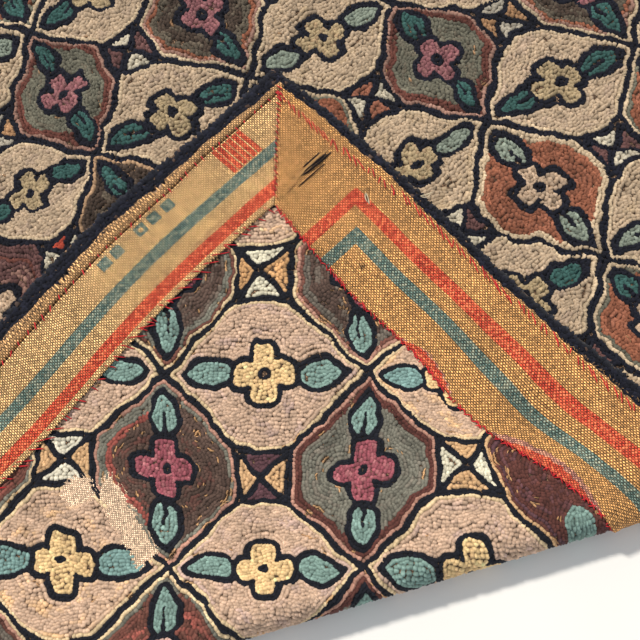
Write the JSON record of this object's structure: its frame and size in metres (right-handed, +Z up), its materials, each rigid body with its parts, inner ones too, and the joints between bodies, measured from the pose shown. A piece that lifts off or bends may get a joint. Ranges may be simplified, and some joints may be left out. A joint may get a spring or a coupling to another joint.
{
  "type": "hooked rug",
  "caption": "Rectangular hand-hooked rug lying flat, pile up, one corner folded over to show its stitched back and mitred burlap binding.",
  "frame": {"origin": "middle of the bounding box, on the floor under the rug", "axes": "+X along the long sides, towards the folded corner; +Y along the short sides, away from the folded corner; +Z up, out of the pile"},
  "size_m": [1.8368, 1.2267, 0.0395],
  "materials": {
    "hooked_wool": "matt hooked wool strips",
    "burlap": "matt plain-woven jute with printed stripes"
  },
  "bodies": {
    "root": {"rug_body": "hooked_wool", "binding_long_near": "burlap", "binding_short_near": "burlap", "binding_long_far": "burlap", "binding_short_far": "burlap"}
  },
  "joints": []
}
